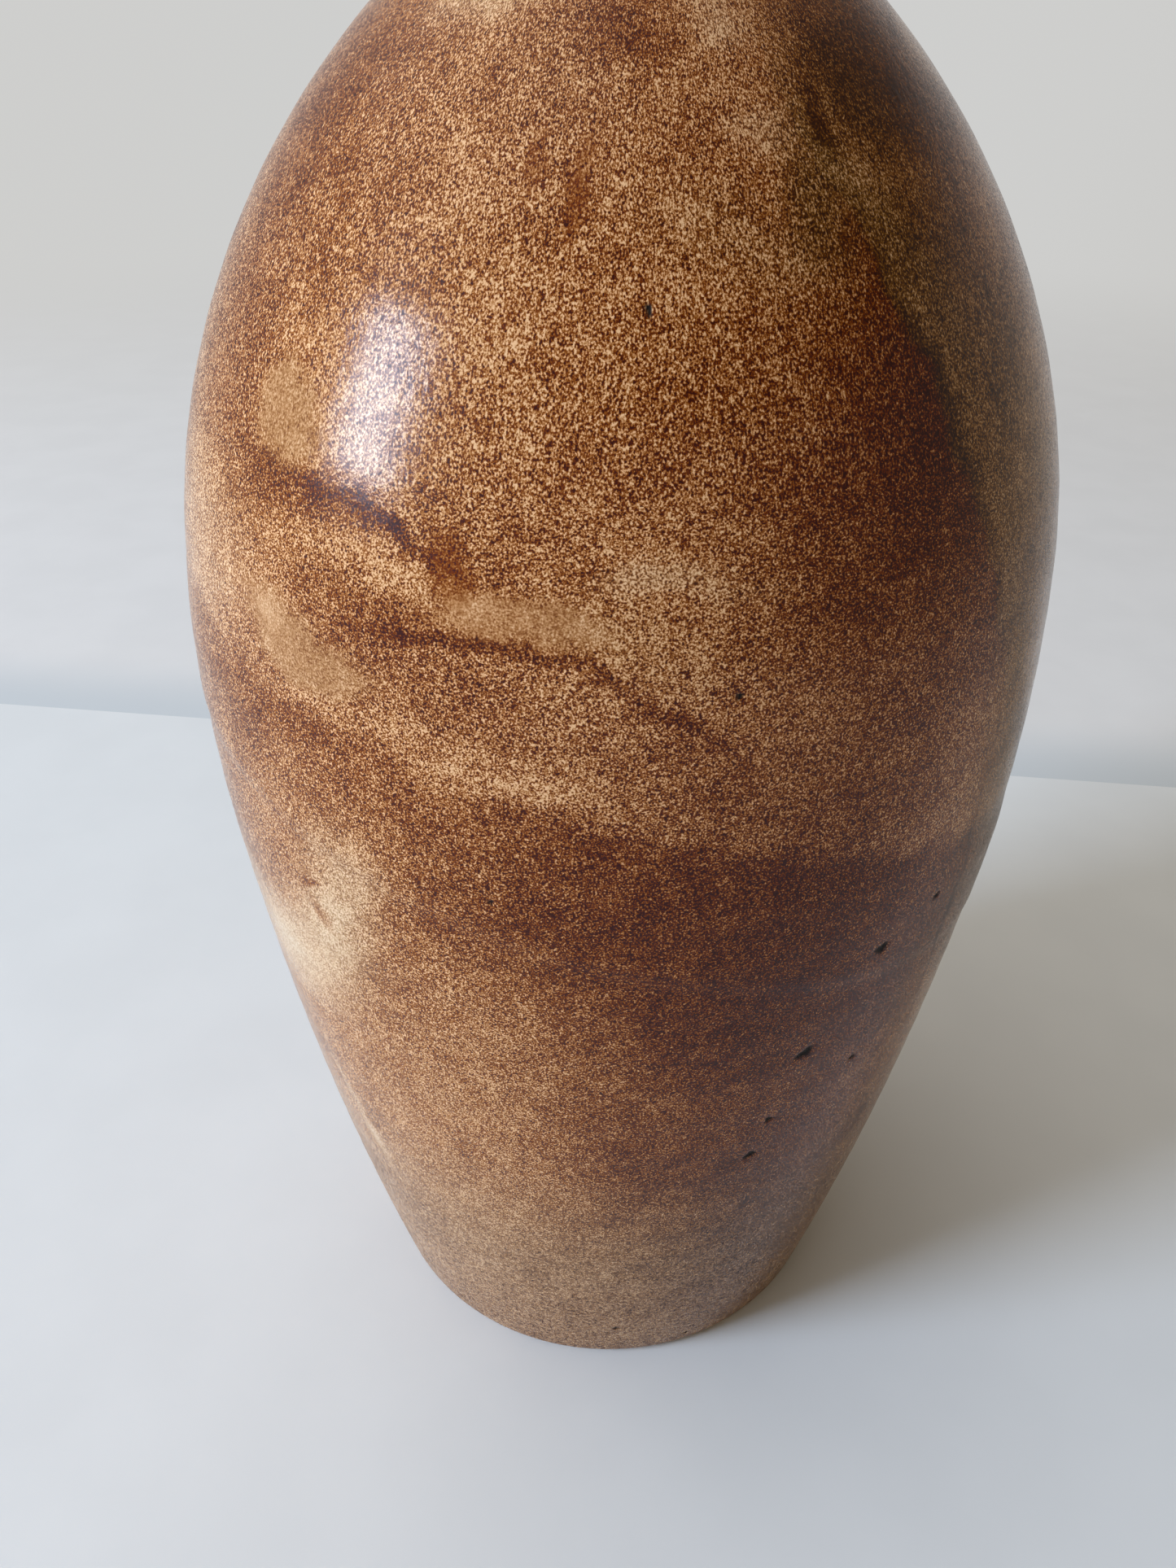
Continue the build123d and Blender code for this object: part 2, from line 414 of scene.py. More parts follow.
strokes = dict(
    # poured lines and pools on the left of the shoulder
    crescent=stroke(
        (-52.5, 205), (7.2, 4.8), -14, 0.4,
        dark=-0.1, khaki=0.3, cream=0.14, still=0.7, relief=0.03,
    ),
    # paler round the highlight: partly paler glaze, partly painted highlight
    crescentPaleAndHighlight=stroke((-38, 206), (15, 8), -12, 0.8, dark=-0.12),
    crescentShade=stroke((-69, 208), (12, 8), 6, fold=0.5, dark=0.06),
    upperLight=stroke((-18, 212), (6, 12), 14, dark=-0.09),
    pourLine=stroke(
        (-41.5, 198.3), (17.5, 1.8), -13, 0.7, sag=1.9, fold=2.6, dark=0.25, relief=0.02,
    ),
    pourDeep=stroke((-32.5, 196.2), (6.5, 1.4), -26, 0.8, sag=0.6, fold=2, dark=0.2),
    pourBand=stroke((-49, 197.4), (17, 5), -6, 0.8, sag=1.6, fold=4, dark=0.15),
    pourDrip=stroke((-23, 191.5), (2.4, 4.6), 6, 0.5, dark=0.17, still=0.5),
    pourTip=stroke((-32, 190.6), (6.8, 2.7), -17, 0.5, dark=-0.1),
    pourHook=stroke((-25.4, 189.6), (0.8, 3.6), 10, 0.7, dark=0.2),
    pourLight=stroke((-37, 190.5), (20, 2.6), -8, sag=0.8, dark=-0.14),
    leftPool=stroke(
        (-46.5, 176.6), (13, 4.4), -17, 0.4,
        sag=-1.6, dark=-0.1, khaki=0.3, cream=0.14, still=0.7, relief=0.03,
    ),
    leftPoolRise=stroke((-58, 182), (9, 2.4), -24, dark=-0.03, still=0.2),
    leftPoolShade=stroke((-39, 182), (10, 4), -8, dark=0.09),
    slantFold=stroke((-52, 167.4), (32, 9), -7, sag=0.8, fold=4, dark=0.08, relief=0.03),
    slantLight=stroke((-36, 169), (22, 2.6), -9, dark=-0.1),
    # paler and creamier low on the left: partly cream glaze, partly painted sheen from the window
    # side
    leftCreamAndSheen=stroke((-81, 187), (17, 14), 4, 0.8, fold=1.5, dark=-0.15, cream=0.2),
    upperLeftShade=stroke((-71, 242), (19, 15), 6, dark=0.24),
    # pool at the front, with its dark lower edge
    frontPool=stroke(
        (-13.5, 186.2), (12.5, 3.7), -2, 0.4, sag=0.6, dark=-0.08, khaki=0.1, cream=0.1, still=0.7,
    ),
    frontEdge=stroke(
        (-16.5, 182.4), (17, 1.5), -3, 0.7, sag=0.8, fold=1.8, dark=0.27, relief=0.05,
    ),
    frontTail=stroke((6.5, 174.4), (13, 1.5), -34, 0.8, sag=-0.8, fold=1.5, dark=0.22),
    frontKnot=stroke((-29.5, 185), (5, 2.8), 10, dark=0.18),
    paleDash=stroke((3.5, 191.9), (5.5, 1.6), 4, dark=-0.14, khaki=0.1, cream=0.14),
    paleDashTail=stroke((13, 192), (9, 1.3), -3, dark=-0.12, khaki=0.1, cream=0.06),
    underPool=stroke((2, 184), (10, 4.5), -16, dark=-0.1, khaki=0.15),
    lowLight=stroke((-16, 162.8), (18, 2.4), -4, sag=1.2, dark=-0.09),
    # the dark cloud on the right and the khaki fall beside it, with painted shade over the right,
    # the side away from the window
    rightCloud=stroke((51, 206.3), (29, 30), -64, 0.8, sag=2.6, fold=14, dark=0.27),
    cloudCore=stroke((42, 202), (13, 15), -20, dark=0.1),
    khakiFall=stroke((52, 207), (32, 26), 116, 0.7, sag=-2.6, fold=16, khaki=0.95, still=0.15),
    khakiEdge=stroke((49, 218), (11, 3), -62, 0.8, fold=0.6, dark=-0.03, khaki=0.4),
    # painted shade on the upper right
    fallPaintedShade=stroke((62, 227), (18, 22), -16, dark=0.26),
    khakiLow=stroke((80, 158), (15, 46), 3, 0.6, dark=0.05, khaki=0.85, still=0.3),
    khakiLine=stroke((66, 121), (0.7, 27), 0, 0.7, dark=0.18, still=0.4),
    khakiCap=stroke((33, 230.5), (6, 7.5), 16, 0.8, dark=0.05, khaki=0.85),
    khakiMottle=stroke((20, 226), (13, 4), -14, dark=-0.05, khaki=0.3),
    capShade=stroke((43, 241), (11, 6), -10, 0.8, dark=0.14, khaki=0.3),
    capSpot=stroke((37.5, 238.2), (1.9, 3.6), 12, 0.8, dark=0.3),
    neckShade=stroke((66, 244), (25, 9), -7, 0.7, dark=0.2, khaki=0.3),
    # painted shade on the right of the belly and over the right of the dip band
    rightShade=stroke((42, 178), (20, 11), -12, dark=0.09),
    rightDipPaintedShade=stroke((33, 158), (34, 9), -10, dark=0.12),
    # streaks near the neck
    topPaleLeft=stroke((-38, 250.5), (13, 2.4), 0, dark=-0.2, cream=0.35, still=0.2),
    topPaleNext=stroke((-28, 241), (6, 12), -16, dark=-0.05),
    topCream=stroke((20.5, 246.5), (4.6, 2), -10, dark=-0.15, cream=0.2),
    topCreamFall=stroke((24, 237), (5, 1.3), 6, dark=-0.14, cream=0.15),
    topCreamRim=stroke((23, 251.5), (7, 2), 0, dark=-0.18, cream=0.25),
    topShade=stroke((3, 246.5), (8, 3.4), -6, dark=0.17),
    topBrown=stroke((-7, 248.5), (6, 3), 0, dark=0.13),
    smudge=stroke((-6.8, 232), (1.7, 4.4), -8, 0.8, dark=0.13, still=0.5),
    smallSmudge=stroke((-15, 233.5), (1.5, 2.4), 0, dark=0.14, still=0.4),
    # creamy runs low on the left
    creamTop=stroke((-45, 134), (6.5, 12), -16, dark=-0.19, cream=0.5, still=0.1),
    creamPatch=stroke((-57, 117), (15, 9), 30, 0.8, dark=-0.17, cream=0.55, still=0.25),
    creamRun=stroke((-75, 113), (12, 12), 40, dark=-0.16, cream=0.5, still=0.2),
    creamNotch=stroke((-49.5, 127.5), (1.4, 3.2), 20, dark=0.24, cream=-0.4),
    creamMark=stroke((-51.5, 135), (2, 0.9), 18, 0.7, dark=0.35, cream=-0.3),
    creamDrop=stroke((-55.5, 62.5), (2.6, 4.6), 24, dark=-0.2, cream=0.6, still=0.3),
    creamThread=stroke((-60, 73), (1.4, 11), 20, dark=-0.14, cream=0.4),
    # painted light low on the left, and painted shade, a little smoother, low on the right and at
    # the foot, the side away from the window
    lowerPaintedLight=stroke((-46, 60), (34, 50), -6, dark=-0.11),
    lowerPaintedShade=stroke((24, 92), (27, 42), 8, dark=0.27, still=0.1),
    lowerSidePaintedShade=stroke((56, 84), (13, 42), 4, dark=0.1),
    footPaintedShade=stroke((62, 34), (34, 40), 10, dark=0.16),
    # the right side, out of the first coat's pours
    sideFold=stroke((128, 186), (30, 8), -18, 0.8, sag=3, fold=4.5, dark=0.24, relief=0.05),
    sidePool=stroke(
        (122, 205), (13, 4.6), -26, 0.35, sag=1.5, dark=-0.16, khaki=0.3, still=0.75, relief=0.03,
    ),
    sideShade=stroke((103, 214), (8, 22), -14, 0.8, dark=0.2),
    sideCream=stroke((106, 99), (5, 9), 26, dark=-0.16, cream=0.45),
    sideCreamRun=stroke((113, 83), (3.4, 11), -8, dark=-0.12, cream=0.3),
    sideCreamMark=stroke((104.5, 103), (1.8, 1), 12, 0.8, dark=0.3, cream=-0.3),
    sideDash=stroke((140, 170), (12, 1.9), -8, dark=-0.14, cream=0.15),
    sideTop=stroke((96, 245), (13, 2.6), 6, dark=-0.16, cream=0.25),
    # the far side
    backPool=stroke(
        (205, 191), (17, 4.2), 22, 0.35, sag=1.6, dark=-0.16, khaki=0.3, still=0.72, relief=0.03,
    ),
    backEdge=stroke((207, 185.6), (20, 1.8), 21, 0.7, sag=1.8, fold=1.8, dark=0.27, relief=0.05),
    backEdgeTail=stroke((181, 172.5), (11, 1.6), 36, 0.8, sag=-0.8, dark=0.2),
    backCloud=stroke((-184, 208), (27, 27), 104, 0.75, sag=2.4, fold=10, dark=0.28),
    backFall=stroke(
        (-183, 208), (30, 24), -76, 0.7, sag=-2.4, fold=14, dark=-0.06, khaki=0.9, still=0.3,
    ),
    backSmudge=stroke((226, 226), (2.2, 5.5), 10, 0.8, dark=0.2, still=0.6),
    backTop=stroke((-214, 244), (14, 2.4), -6, dark=-0.16, cream=0.25),
    backTopFall=stroke((-205, 236), (5, 8), 14, dark=-0.1),
    backCream=stroke((188, 121), (10, 7), 32, dark=-0.18, cream=0.5, still=0.1),
    backCreamMark=stroke((190.5, 126.5), (2, 1), -14, 0.8, dark=0.32, cream=-0.3),
    backCreamRun=stroke((199, 106), (12, 8), 44, dark=-0.13, cream=0.35),
    backDash=stroke((-208, 172), (14, 2), 6, dark=-0.14, cream=0.15),
    # the left side
    leftFold=stroke((-126, 196), (26, 7), 14, 0.8, sag=2.4, fold=4, dark=0.24, relief=0.05),
    leftSidePool=stroke(
        (-116, 186), (14, 4), 18, 0.35, sag=-1.4, dark=-0.15, khaki=0.35, still=0.75, relief=0.03,
    ),
    leftSmudge=stroke((-104, 222), (9, 5), 20, dark=0.18),
    leftTop=stroke((-122, 244), (14, 2.6), -8, dark=-0.16, cream=0.25),
    leftCream=stroke((-140, 112), (9, 8), 36, dark=-0.16, cream=0.4),
)

# Small rusty spots, as (millimetres round from the front, height, reach)
rustSpots = [
    (68, 229, 1.3), (62.5, 206.5, 1.1), (55, 208, 0.7), (68, 219, 1), (68, 203, 0.8),
    (72, 186, 0.9), (76, 192, 0.8), (63, 241, 1), (71, 243, 1.2), (62.5, 72, 2),
    (30.5, 62.5, 1.4), (-51, 91, 1.1), (-55, 70, 1.2), (3.5, 14, 1.1), (26, 56, 0.9),
    (109, 201, 0.9), (131, 58, 1.2), (149, 214, 1), (181, 71, 1.3), (213, 158, 0.9),
    (-171, 196, 1), (-158, 88, 1.2), (-103, 61, 1.1), (-119, 226, 0.9), (-199, 219, 1.1),
]
for around, height, reach in rustSpots:
    spot = stroke((around, height), (reach, reach * 0.8), around, dark=0.24)
    strokes[f"rust{around}_{height}"] = spot


def addStroke(tree, unrolled, mark, at, totals):
    # A soft-edged patch, in the unrolled coordinates, added to the totals it names.
    lean, (length, width) = radians(mark["turn"]), mark["reach"]
    away = vectorCalc(tree, "SUBTRACT", unrolled, (*at, 0))
    long = project(tree, away, (cos(lean) / length, sin(lean) / length, 0))
    short = project(tree, away, (-sin(lean) / width, cos(lean) / width, 0))
    if "sag" in mark:
        bowed = times(tree, long, long)
        short = calc(tree, "MULTIPLY_ADD", bowed, mark["sag"] / width, short)
    if "fold" in mark:
        sharpSide = times(tree, short, mark["fold"])
        short = calc(tree, "MAXIMUM", sharpSide, times(tree, short, -1))
    distance = vectorLength(tree, joined(tree, long, short))
    mask = ease(tree, distance, 1 + mark["fade"], 1 - mark["fade"])
    for channel in totals:
        if channel in mark:
            totals[channel] = calc(tree, "MULTIPLY_ADD", mask, mark[channel], totals[channel])


def strokeField(places, channel):
    # What the strokes add to one channel at each of these places, wavering as the shader's do.
    x, y, z = places.T
    total = numpy.zeros(len(places))
    across, up = numpy.zeros(len(places)), z.copy()
    for amount, waves, start in glazeLook["waver"]:
        swing = places @ numpy.array(waves) + start
        across += amount * numpy.sin(swing)
        up += amount * numpy.cos(swing)
    turn = numpy.arctan2(x, -y) * glazeLook["unroll"]
    halfTurn = pi * glazeLook["unroll"]
    for mark in strokes.values():
        if channel not in mark:
            continue
        away = (turn - mark["at"][0] + halfTurn) % (2 * halfTurn) - halfTurn + across
        rise = up - mark["at"][1]
        lean, (length, width) = radians(mark["turn"]), mark["reach"]
        long = (away * cos(lean) + rise * sin(lean)) / length
        short = (rise * cos(lean) - away * sin(lean)) / width
        short = short + mark.get("sag", 0) / width * long**2
        if "fold" in mark:
            short = numpy.maximum(short * mark["fold"], -short)
        t = (1 + mark["fade"] - numpy.hypot(long, short)) / (2 * mark["fade"])
        t = numpy.clip(t, 0, 1)
        total += mark[channel] * t * t * (3 - 2 * t)
    return total


def poolGlaze(mesh, thickness, shows):
    # Raises the thick edges of the pours and notes where the glaze melted smooth.
    places = numpy.array([v.co[:] for v in mesh.verts])
    smoothed = mesh.verts.layers.float.new("smoothed")
    raised = strokeField(places, "relief")
    stilled = numpy.clip(strokeField(places, "still"), 0, 1) * glazeLook["stillRelief"]
    for v, lift, still in zip(mesh.verts, raised, stilled):
        v[smoothed] = still
        if lift > 0 and shows(v.co) and hypot(v.co.x, v.co.y) > radiusAt(v.co.z, thickness * 0.7):
            v.co += Vector((v.co.x, v.co.y, 0)).normalized() * lift


def waverNodes(tree, place):
    # What wavering adds round and up, so that no edge is a clean curve.
    noise = grain(tree, place, glazeLook["raggedSize"], 2.0, 0.6, "Color")
    noise = vectorCalc(tree, "SUBTRACT", noise, (0.5, 0.5, 0.5))
    ragged = axesOf(tree, scaled(tree, noise, glazeLook["ragged"]))
    around, up = ragged[0], ragged[1]
    for amount, waves, start in glazeLook["waver"]:
        swing = calc(tree, "ADD", project(tree, place, waves), start)
        around = calc(tree, "MULTIPLY_ADD", calc(tree, "SINE", swing), amount, around)
        up = calc(tree, "MULTIPLY_ADD", calc(tree, "COSINE", swing), amount, up)
    return around, up


def unrolledFrom(tree, ahead, aside, waverAround, height):
    # Coordinates round the pot, from where ahead is greatest, and up.
    around = times(tree, calc(tree, "ARCTAN2", aside, ahead), glazeLook["unroll"])
    return joined(tree, calc(tree, "ADD", waverAround, around), height)


def drawnPlace(tree, place, x, y, z):
    # Where flecks are read: drawn out up the shoulder, and plain below it and on the neck.
    shoulderArc, shoulderZ = centres["shoulderArc"], centres["shoulder"][1]
    start, end = glazeLook["drawnOut"]
    startZ = shoulderZ + start * shoulderArc
    reach = vectorLength(tree, vectorCalc(tree, "MULTIPLY", place, (1, 1, 0)))
    rise = calc(tree, "DIVIDE", calc(tree, "SUBTRACT", z, shoulderZ), shoulderArc)
    rise = calc(tree, "MINIMUM", calc(tree, "MAXIMUM", rise, start), end)
    turned = calc(tree, "SUBTRACT", calc(tree, "ARCSINE", rise), asin(start))
    along = times(tree, turned, shoulderArc * glazeLook["drawnShare"])
    pulledZ = calc(tree, "ADD", calc(tree, "MINIMUM", z, startZ), along)
    swell = calc(tree, "DIVIDE", radiusAt(startZ), calc(tree, "MAXIMUM", reach, 5))
    swell = calc(tree, "POWER", swell, calc(tree, "GREATER_THAN", z, startZ))
    pulledX, pulledY = (times(tree, side, swell) for side in (x, y))
    pulled = joined(tree, pulledX, pulledY, pulledZ)
    onNeck = ease(tree, z, *glazeLook["neck"])
    return addNode(tree, "Mix", {0: onNeck, 4: pulled, 5: place}, data_type="VECTOR").outputs[1]


def makeGlazePattern():
    look = glazeLook
    tree = bpy.data.node_groups.new("speckledGlazePattern", "ShaderNodeTree")
    for name, kind in (("Colour", "Color"), ("Roughness", "Float"), ("Height", "Float")):
        tree.interface.new_socket(name=name, in_out="OUTPUT", socket_type="NodeSocket" + kind)
    place = inMillimetres(tree)
    axes = axesOf(tree, place)
    x, y, z = axes[0], axes[1], axes[2]
    waverAround, waverUp = waverNodes(tree, place)
    wavyHeight = calc(tree, "ADD", waverUp, z)
    minusX, minusY = (times(tree, side, -1) for side in (x, y))
    front = unrolledFrom(tree, minusY, x, waverAround, wavyHeight)
    back = unrolledFrom(tree, y, minusX, waverAround, wavyHeight)

    totals = {"dark": 0.0, "khaki": 0.0, "cream": 0.0, "still": 0.0}
    halfTurn = pi * look["unroll"]
    for mark in strokes.values():
        around, height = mark["at"]
        if abs(around) > halfTurn / 2:
            turned = around - halfTurn if around > 0 else around + halfTurn
            addStroke(tree, back, mark, (turned, height), totals)
        else:
            addStroke(tree, front, mark, (around, height), totals)

    # The band where the second coat lies over the first
    level = calc(tree, "MULTIPLY_ADD", x, tan(radians(look["dipTilt"])), wavyHeight)
    bandTop = ease(tree, level, look["secondEdge"] + 2, look["secondEdge"] - 3)
    bandLow = ease(tree, level, look["firstEdge"] - 30, look["firstEdge"] + 4)
    bandSide = ease(tree, x, *look["overlap"], 0.15, 1.0)
    band = times(tree, times(tree, bandTop, bandLow), bandSide)
    dark = calc(tree, "MULTIPLY_ADD", band, look["overlapDark"], totals["dark"])

    drawn = drawnPlace(tree, place, x, y, z)
    flecks = grain(tree, drawn, look["fleck"], 2.0, 0.55)
    clumps = grain(tree, drawn, look["clump"], 1.0, 0.5)
    patches = grain(tree, place, look["patch"])
    clouds = grain(tree, place, look["drift"])

    low = ease(tree, z, *look["foot"])
    still = times(tree, totals["still"], 0.8)
    calm = calc(tree, "MAXIMUM", still, times(tree, low, look["footCalm"]))
    lively = calc(tree, "SUBTRACT", 1, calc(tree, "MINIMUM", calm, 0.85))
    thick = times(tree, calc(tree, "MAXIMUM", dark, 0), 0.5)
    power = times(tree, lively, calc(tree, "SUBTRACT", 1, thick, clamp=True))
    tone = vary(tree, 0.0, flecks, look["fleckContrast"])
    tone = vary(tree, tone, clumps, look["clumpContrast"])
    tone = times(tree, tone, power)
    tone = vary(tree, tone, clumps, times(tree, low, look["footBlotch"]))
    tone = vary(tree, tone, patches, look["patchContrast"])
    tone = vary(tree, tone, clouds, look["driftContrast"])
    tone = calc(tree, "ADD", tone, look["settled"])
    tone = calc(tree, "SUBTRACT", tone, dark)

    colour = toneRamp(tree, tone, look["brown"])
    for kind in ("khaki", "cream"):
        amount = calc(tree, "MAXIMUM", calc(tree, "MINIMUM", totals[kind], 1.0), 0.0)
        colour = blendColour(tree, amount, colour, toneRamp(tree, tone, look[kind]))
    taupe = toneRamp(tree, tone, look["taupe"])
    colour = blendColour(tree, ease(tree, z, *look["footDull"]), colour, taupe)
    pinholeAndShadow = addNode(tree, "Attribute", {}, attribute_name="pinholeAndShadow").outputs["Fac"]
    # pinholes are painted near black, as painted shadow in the pits over their real depth, and made
    # rougher
    colour = blendColour(tree, pinholeAndShadow, colour, paint("120803"))

    fleckDark = ease(tree, tone, 0.5, 0.1)
    roughness = calc(tree, "MULTIPLY_ADD", fleckDark, look["fleckRough"], look["gloss"])
    roughness = calc(tree, "MULTIPLY_ADD", low, look["footRough"], roughness)
    roughness = calc(tree, "MULTIPLY_ADD", pinholeAndShadow, look["pinholeRough"], roughness)

    smoothed = addNode(tree, "Attribute", {}, attribute_name="smoothed").outputs["Fac"]
    relief = calc(tree, "SUBTRACT", look["fleckRelief"], smoothed)
    relief = times(tree, relief, calc(tree, "MULTIPLY_ADD", low, -0.4, 1))
    ripples = times(tree, grain(tree, drawn, look["peel"], 1.5), look["peelRelief"])
    height = calc(tree, "MULTIPLY_ADD", flecks, relief, ripples)

    out = tree.nodes.new("NodeGroupOutput")
    for i, result in enumerate((colour, roughness, height)):
        tree.links.new(result, out.inputs[i])
    return tree


glazePattern = makeGlazePattern()


def glazeMaterial(name):
    material, tree, shader = newMaterial(name)
    pattern = tree.nodes.new("ShaderNodeGroup")
    pattern.node_tree = glazePattern
    tree.links.new(pattern.outputs["Colour"], shader.inputs["Base Color"])
    tree.links.new(pattern.outputs["Roughness"], shader.inputs["Roughness"])
    addBump(tree, shader, pattern.outputs["Height"], millimetre, 0.9)
    shader.inputs["IOR"].default_value = glazeLook["refraction"]
    return material


print("glaze pattern made:", len(strokes), "strokes")


clayLook = {
    "ringWidth": 8.0,
    "recess": 3.0,
    "bevel": 1.2,
    "recessRound": 2.0,
    "floor": 8.0,
    "floorRound": 18.0,
    "turningGroove": 0.12,  # depth of the rings that the turning tool leaves underneath
    "turningPitch": 2.6,
    "buff": [(0.0, "6e4c33"), (0.35, "96704f"), (0.6, "b08a66"), (1.0, "c9a783")],
    "grit": 0.55,
    "gritRelief": 0.00012,
    "cloud": 11.0,
    "iron": "3a2112",
    "ironSize": 1.3,
    "ironFrom": (0.66, 0.74),
    "roughness": (0.72, 0.9),
}


def floorCorner(offset):
    # Centre of the rounding, inside, where the floor turns up into the wall
    height = clayLook["recess"] + clayLook["floor"] + clayLook["floorRound"]
    return radiusAt(height, offset) - clayLook["floorRound"], height


def clayMaterial():
    material, tree, shader = newMaterial("bareStoneware")
    place = inMillimetres(tree)
    grit = grain(tree, place, clayLook["grit"], 3.0, 0.6)
    cloud = grain(tree, place, clayLook["cloud"], 3.0, 0.5)
    tone = vary(tree, vary(tree, 0.55, grit, 1.6), cloud, 0.9)
    colour = toneRamp(tree, tone, clayLook["buff"])
    specks = grain(tree, place, clayLook["ironSize"], 1.0, 0.5)
    iron = ease(tree, specks, *clayLook["ironFrom"])
    colour = blendColour(tree, iron, colour, paint(clayLook["iron"]))
    roughness = ease(tree, grit, 0.3, 0.7, *clayLook["roughness"])
    tree.links.new(colour, shader.inputs["Base Color"])
    tree.links.new(roughness, shader.inputs["Roughness"])
    addBump(tree, shader, grit, clayLook["gritRelief"], 0.9)
    return material


def makeClayBody():
    look, o = clayLook, outline
    mesh = bmesh.new()
    coarse = o["coarseStep"]
    floorTop = look["recess"] + look["floor"]
    tip = mesh.verts.new((0, 0, look["recess"]))
    ringInner = o["footRadius"] - look["ringWidth"]
    grooveEnd = ringInner - look["recessRound"]
    step = look["turningPitch"] / 4
    count = round(grooveEnd / step)
    # Recess floor, with its turning rings
    for i in range(1, count + 1):
        reach = grooveEnd * i / count
        dip = look["turningGroove"] * (1 - cos(2 * pi * reach / look["turningPitch"])) / 2
        fadeOut = smoothStep(0, 4, reach) * (1 - smoothStep(grooveEnd - 4, grooveEnd, reach))
        tip = lineTo(mesh, tip, (reach, look["recess"] + dip * fadeOut))
    tip = trace(mesh, tip, [((grooveEnd, look["recess"] - look["recessRound"]), -pi / 2)], 0.5)
    # Over the foot ring, up the wall and down inside
    bevel, edge = look["bevel"], o["footRadius"]
    tip = lineTo(mesh, tip, (ringInner, bevel))
    tip = lineTo(mesh, tip, (ringInner + bevel * 0.35, bevel * 0.35))
    tip = lineTo(mesh, tip, (ringInner + bevel, 0))
    tip = lineTo(mesh, tip, (edge - bevel, 0), 1.2)
    tip = lineTo(mesh, tip, (edge - bevel * 0.3, bevel * 0.32))
    tip = lineTo(mesh, tip, flankPoint(0, bevel))
    tip = trace(mesh, tip, wallPath(0, bevel), coarse)
    tip = trace(mesh, tip, [(centres["lip"], pi)], 0.8)
    corner = floorCorner(-o["wall"])
    tip = trace(mesh, tip, backwards(wallPath(-o["wall"], corner[1])), coarse)
    tip = trace(mesh, tip, [(corner, -pi / 2)], 1.5)
    tip = lineTo(mesh, tip, (0, floorTop), coarse)
    throwPot(mesh, o["coarseTurns"])
    piece = finishPiece(mesh, "clayBody", clayMaterial(), 35)
    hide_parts("clay_body")
    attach(piece, "root")


makeClayBody()


linerLook = {
    "thickness": 0.4,
    "tones": [(0.0, "4a2a12"), (0.3, "7d5630"), (0.55, "a57f52"), (0.8, "bd9a6c"), (1.0, "cfb186")],
    "fleck": 0.7,
    "run": 7.0,
    "runRelief": 0.0003,
    "pool": (30, 11),           # heights over which the glaze pools on the floor
    "poolTone": -0.25,
    "roughness": (0.28, 0.14),  # outside the pool and in it
}


def linerMaterial():
    material, tree, shader = newMaterial("linerGlaze")
    place = inMillimetres(tree)
    flecks = grain(tree, place, linerLook["fleck"], 2.0, 0.6)
    stretched = vectorCalc(tree, "MULTIPLY", place, (1, 1, 0.25))
    runs = grain(tree, stretched, linerLook["run"], 3.0, 0.55)
    tone = vary(tree, vary(tree, 0.55, flecks, 2.6), runs, 1.0)
    pooled = ease(tree, axesOf(tree, place)[2], *linerLook["pool"])
    tone = calc(tree, "MULTIPLY_ADD", pooled, linerLook["poolTone"], tone)
    tree.links.new(toneRamp(tree, tone, linerLook["tones"]), shader.inputs["Base Color"])
    roughness = ease(tree, pooled, 0, 1, *linerLook["roughness"])
    tree.links.new(roughness, shader.inputs["Roughness"])
    addBump(tree, shader, runs, linerLook["runRelief"], 0.6)
    return material


def makeLiner():
    thickness, o = linerLook["thickness"], outline
    mesh = bmesh.new()
    claySide, innerSide = -o["wall"], -o["wall"] - thickness
    clayFloor = clayLook["recess"] + clayLook["floor"]
    corner = floorCorner(claySide)
    innerCorner = (floorCorner(innerSide)[0] + thickness, corner[1])
    tip = mesh.verts.new((0, 0, clayFloor))
    tip = lineTo(mesh, tip, (corner[0], clayFloor), o["coarseStep"])
    tip = trace(mesh, tip, [(corner, pi / 2)], 2.5)
    tip = trace(mesh, tip, wallPath(claySide, corner[1]), o["coarseStep"])
    lipEnd = pi - o["flareAngle"]
    tip = lineTo(mesh, tip, polar(centres["flare"], o["flareArc"] - innerSide, lipEnd))
    tip = trace(mesh, tip, backwards(wallPath(innerSide, corner[1])), 2.0)
    tip = trace(mesh, tip, [(innerCorner, -pi / 2)], 1.2)
    tip = lineTo(mesh, tip, (0, clayFloor + thickness), 2.5)
    throwPot(mesh, o["coarseTurns"])
    piece = finishPiece(mesh, "linerGlaze", linerMaterial())
    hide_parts("liner_glaze")
    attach(piece, "root")


makeLiner()


coatLook = {
    "upperThickness": 0.35,
    "lowerThickness": 0.35,
    "footLine": 1.6,        # clay wiped clean above the bearing face
    "fillWidth": 4.0,       # where the second coat swells up against the first
    "featherWidth": 11.0,   # where the second coat thins out again
    "tucked": 1.06,         # its thin edge is drawn just into the first
    "seatGap": 0.05,        # between the two, under the overlap
    "pinholeDepth": 0.28,
    "pinholeRim": 0.009,
    "pinholeAround": 1.4,   # how far out the mesh is made finer for one
}

# Pinholes, as (degrees round from the front, height, reach along, reach across, turn)
pinholes = [
    (35.4, 126.1, 1.4, 1.05, 25), (27.1, 106.2, 1.85, 0.95, 28), (37.1, 97.8, 0.8, 0.6, 0),
    (23.9, 89.7, 0.8, 0.75, 0), (22.3, 79.9, 1.35, 0.85, 35), (44.4, 131.3, 0.85, 0.6, 20),
    (2.9, 220.3, 0.4, 0.75, 12), (12.4, 176.8, 0.5, 0.5, 0), (-12.9, 143.9, 0.45, 0.4, 0),
    (3.4, 14.4, 0.75, 0.45, 0), (20.6, 4.8, 0.6, 0.5, 0), (118, 141, 0.8, 0.5, -20),
    (-131, 96, 0.6, 0.5, 10), (172, 223, 0.45, 0.6, 0), (-97, 168, 0.5, 0.45, 0),
]


